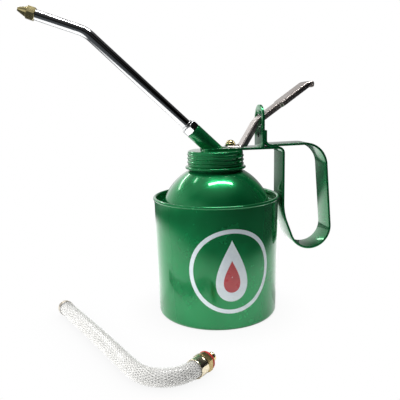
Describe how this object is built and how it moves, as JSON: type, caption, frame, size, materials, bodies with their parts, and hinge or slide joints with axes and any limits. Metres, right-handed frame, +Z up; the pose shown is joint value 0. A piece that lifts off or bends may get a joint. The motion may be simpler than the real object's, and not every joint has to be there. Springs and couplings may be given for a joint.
{
  "type": "hand-pumped oil can",
  "caption": "Hand-pumped workshop oil can: drawn can, screw cap with pump, thumb lever, strip handle, gooseneck spout and a loose flexible spout.",
  "frame": {"origin": "centre of the can's standing ring, on the surface it stands on", "axes": "+Z up along the can's axis, +X towards the handle, spout towards -X, thumb lever and handle in the plane Y = 0"},
  "size_m": [0.2104, 0.1518, 0.213],
  "materials": {
    "green_enamel": "gloss",
    "chrome_plate": "polished",
    "nickel_plate": "satin",
    "brass_turned": "polished",
    "bright_steel": "satin",
    "black_rubber": "matte",
    "cup_leather": "oiled",
    "clear_hose": "translucent, braided",
    "red_fibre": "matte"
  },
  "bodies": {
    "can": {"can_body": "green_enamel", "shoulder_dome": "green_enamel", "neck_ring": "bright_steel"},
    "seal": {"cap_seal": "black_rubber"},
    "cap": {"cap_shell": "green_enamel", "outlet_socket": "green_enamel", "gland_bush": "brass_turned", "rod_seal": "black_rubber", "pump_barrel": "bright_steel", "foot_valve": "brass_turned", "valve_pin": "bright_steel", "strainer": "brass_turned", "delivery_pipe": "brass_turned", "delivery_seat": "brass_turned", "handle_strip": "green_enamel", "fulcrum_bracket": "green_enamel", "bracket_rivet": "green_enamel", "spout_nut": "chrome_plate", "return_spring": "bright_steel"},
    "lever": {"lever": "nickel_plate"},
    "plunger": {"plunger_rod": "bright_steel", "rod_nut": "brass_turned", "spring_collar": "bright_steel", "piston_washers": "bright_steel", "piston_cup": "cup_leather", "piston_nut": "brass_turned"},
    "foot_ball": {"foot_ball": "bright_steel"},
    "delivery_ball": {"delivery_ball": "bright_steel"},
    "spout": {"spout_tube": "chrome_plate", "spout_ferrule": "chrome_plate", "nozzle": "brass_turned"},
    "flex_spout": {"flex_hose": "clear_hose", "flex_tip": "bright_steel", "flex_crimp": "brass_turned", "flex_fitting": "brass_turned", "flex_washer": "red_fibre"}
  },
  "joints": [
    {"name": "cap_lift", "type": "slide", "parent": "can", "child": "seal", "axis": [0, 0, 1], "range_m": [0, 0.0084]},
    {"name": "cap_turn", "type": "hinge", "parent": "seal", "child": "cap", "pos_m": [0, 0, 0.11], "axis": [0, 0, 1], "range_deg": [0, 1081]},
    {"name": "lever_press", "type": "hinge", "parent": "cap", "child": "lever", "pos_m": [0.0325, 0, 0.1338], "axis": [0, 1, 0], "range_deg": [0, 25], "stiffness_Nm_per_rad": 0.3, "springref_deg": -17.19},
    {"name": "plunger_lift", "type": "slide", "parent": "cap", "child": "plunger", "axis": [0, 0, 1], "range_m": [0, 0.0108], "deforming": ["return_spring"]},
    {"name": "foot_ball_lift", "type": "slide", "parent": "cap", "child": "foot_ball", "axis": [0, 0, 1], "range_m": [0, 0.002]},
    {"name": "delivery_ball_lift", "type": "slide", "parent": "cap", "child": "delivery_ball", "axis": [-0.7254, 0, 0.6884], "range_m": [0, 0.0015]},
    {"name": "spout_turn", "type": "hinge", "parent": "cap", "child": "spout", "pos_m": [-0.01553, 0, 0.13117], "axis": [-0.7254, 0, 0.6884], "continuous": true},
    {"name": "flex_spout_lift", "type": "slide", "parent": "can", "child": "flex_spout", "axis": [0, 0, 1], "range_m": [0, 0.06]}
  ],
  "couplings": [
    {"joint": "cap_turn", "follows": "cap_lift", "rad_per_m": 2244},
    {"joint": "plunger_lift", "follows": "lever_press", "m_per_rad": 0.0245}
  ]
}
